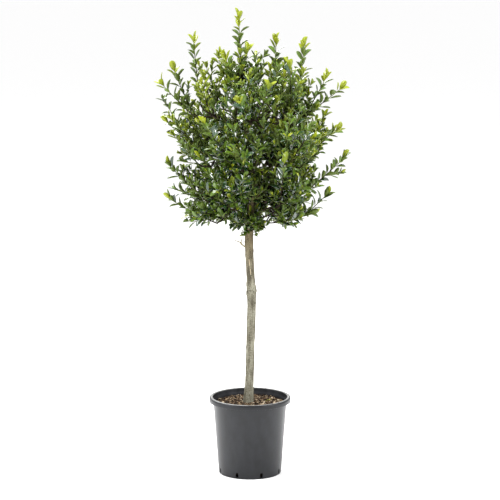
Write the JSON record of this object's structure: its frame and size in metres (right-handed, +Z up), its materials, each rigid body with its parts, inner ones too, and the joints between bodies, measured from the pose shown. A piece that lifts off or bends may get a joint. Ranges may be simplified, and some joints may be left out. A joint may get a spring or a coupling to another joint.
{
  "type": "potted small-leaved evergreen standard tree",
  "caption": "Small-leaved evergreen grown as a standard: a clear stem, a loose egg-shaped head of long leafy shoots, and a round black nursery pot.",
  "frame": {"origin": "middle of the pot's flat underside, where the plant stands on the ground", "axes": "+Z up along the stem, -Y towards the front of the plant, +X to its right as seen from the front"},
  "size_m": [0.5966, 0.5551, 1.466],
  "materials": {
    "pot_plastic": "satin",
    "potting_mix": "matte",
    "bark": "matte",
    "foliage": "satin"
  },
  "bodies": {
    "root": {"pot": "pot_plastic", "potting_mix": "potting_mix", "trunk": "bark", "bough_lower_1": "bark", "bough_lower_2": "bark", "bough_lower_3": "bark", "bough_lower_4": "bark", "bough_lower_5": "bark", "bough_middle_1": "bark", "bough_middle_2": "bark", "bough_middle_3": "bark", "bough_middle_4": "bark", "bough_middle_5": "bark", "bough_middle_6": "bark", "bough_skirt_1": "bark", "bough_skirt_2": "bark", "bough_skirt_3": "bark", "bough_skirt_4": "bark", "bough_skirt_5": "bark", "bough_upper_1": "bark", "bough_upper_2": "bark", "bough_upper_3": "bark", "bough_upper_4": "bark", "bough_upper_5": "bark", "foliage_collar": "foliage", "foliage_lower_1": "foliage", "foliage_lower_2": "foliage", "foliage_lower_3": "foliage", "foliage_lower_4": "foliage", "foliage_lower_5": "foliage", "foliage_middle_1": "foliage", "foliage_middle_2": "foliage", "foliage_middle_3": "foliage", "foliage_middle_4": "foliage", "foliage_middle_5": "foliage", "foliage_middle_6": "foliage", "foliage_skirt_1": "foliage", "foliage_skirt_2": "foliage", "foliage_skirt_3": "foliage", "foliage_skirt_4": "foliage", "foliage_skirt_5": "foliage", "foliage_top": "foliage", "foliage_upper_1": "foliage", "foliage_upper_2": "foliage", "foliage_upper_3": "foliage", "foliage_upper_4": "foliage", "foliage_upper_5": "foliage"}
  },
  "joints": []
}
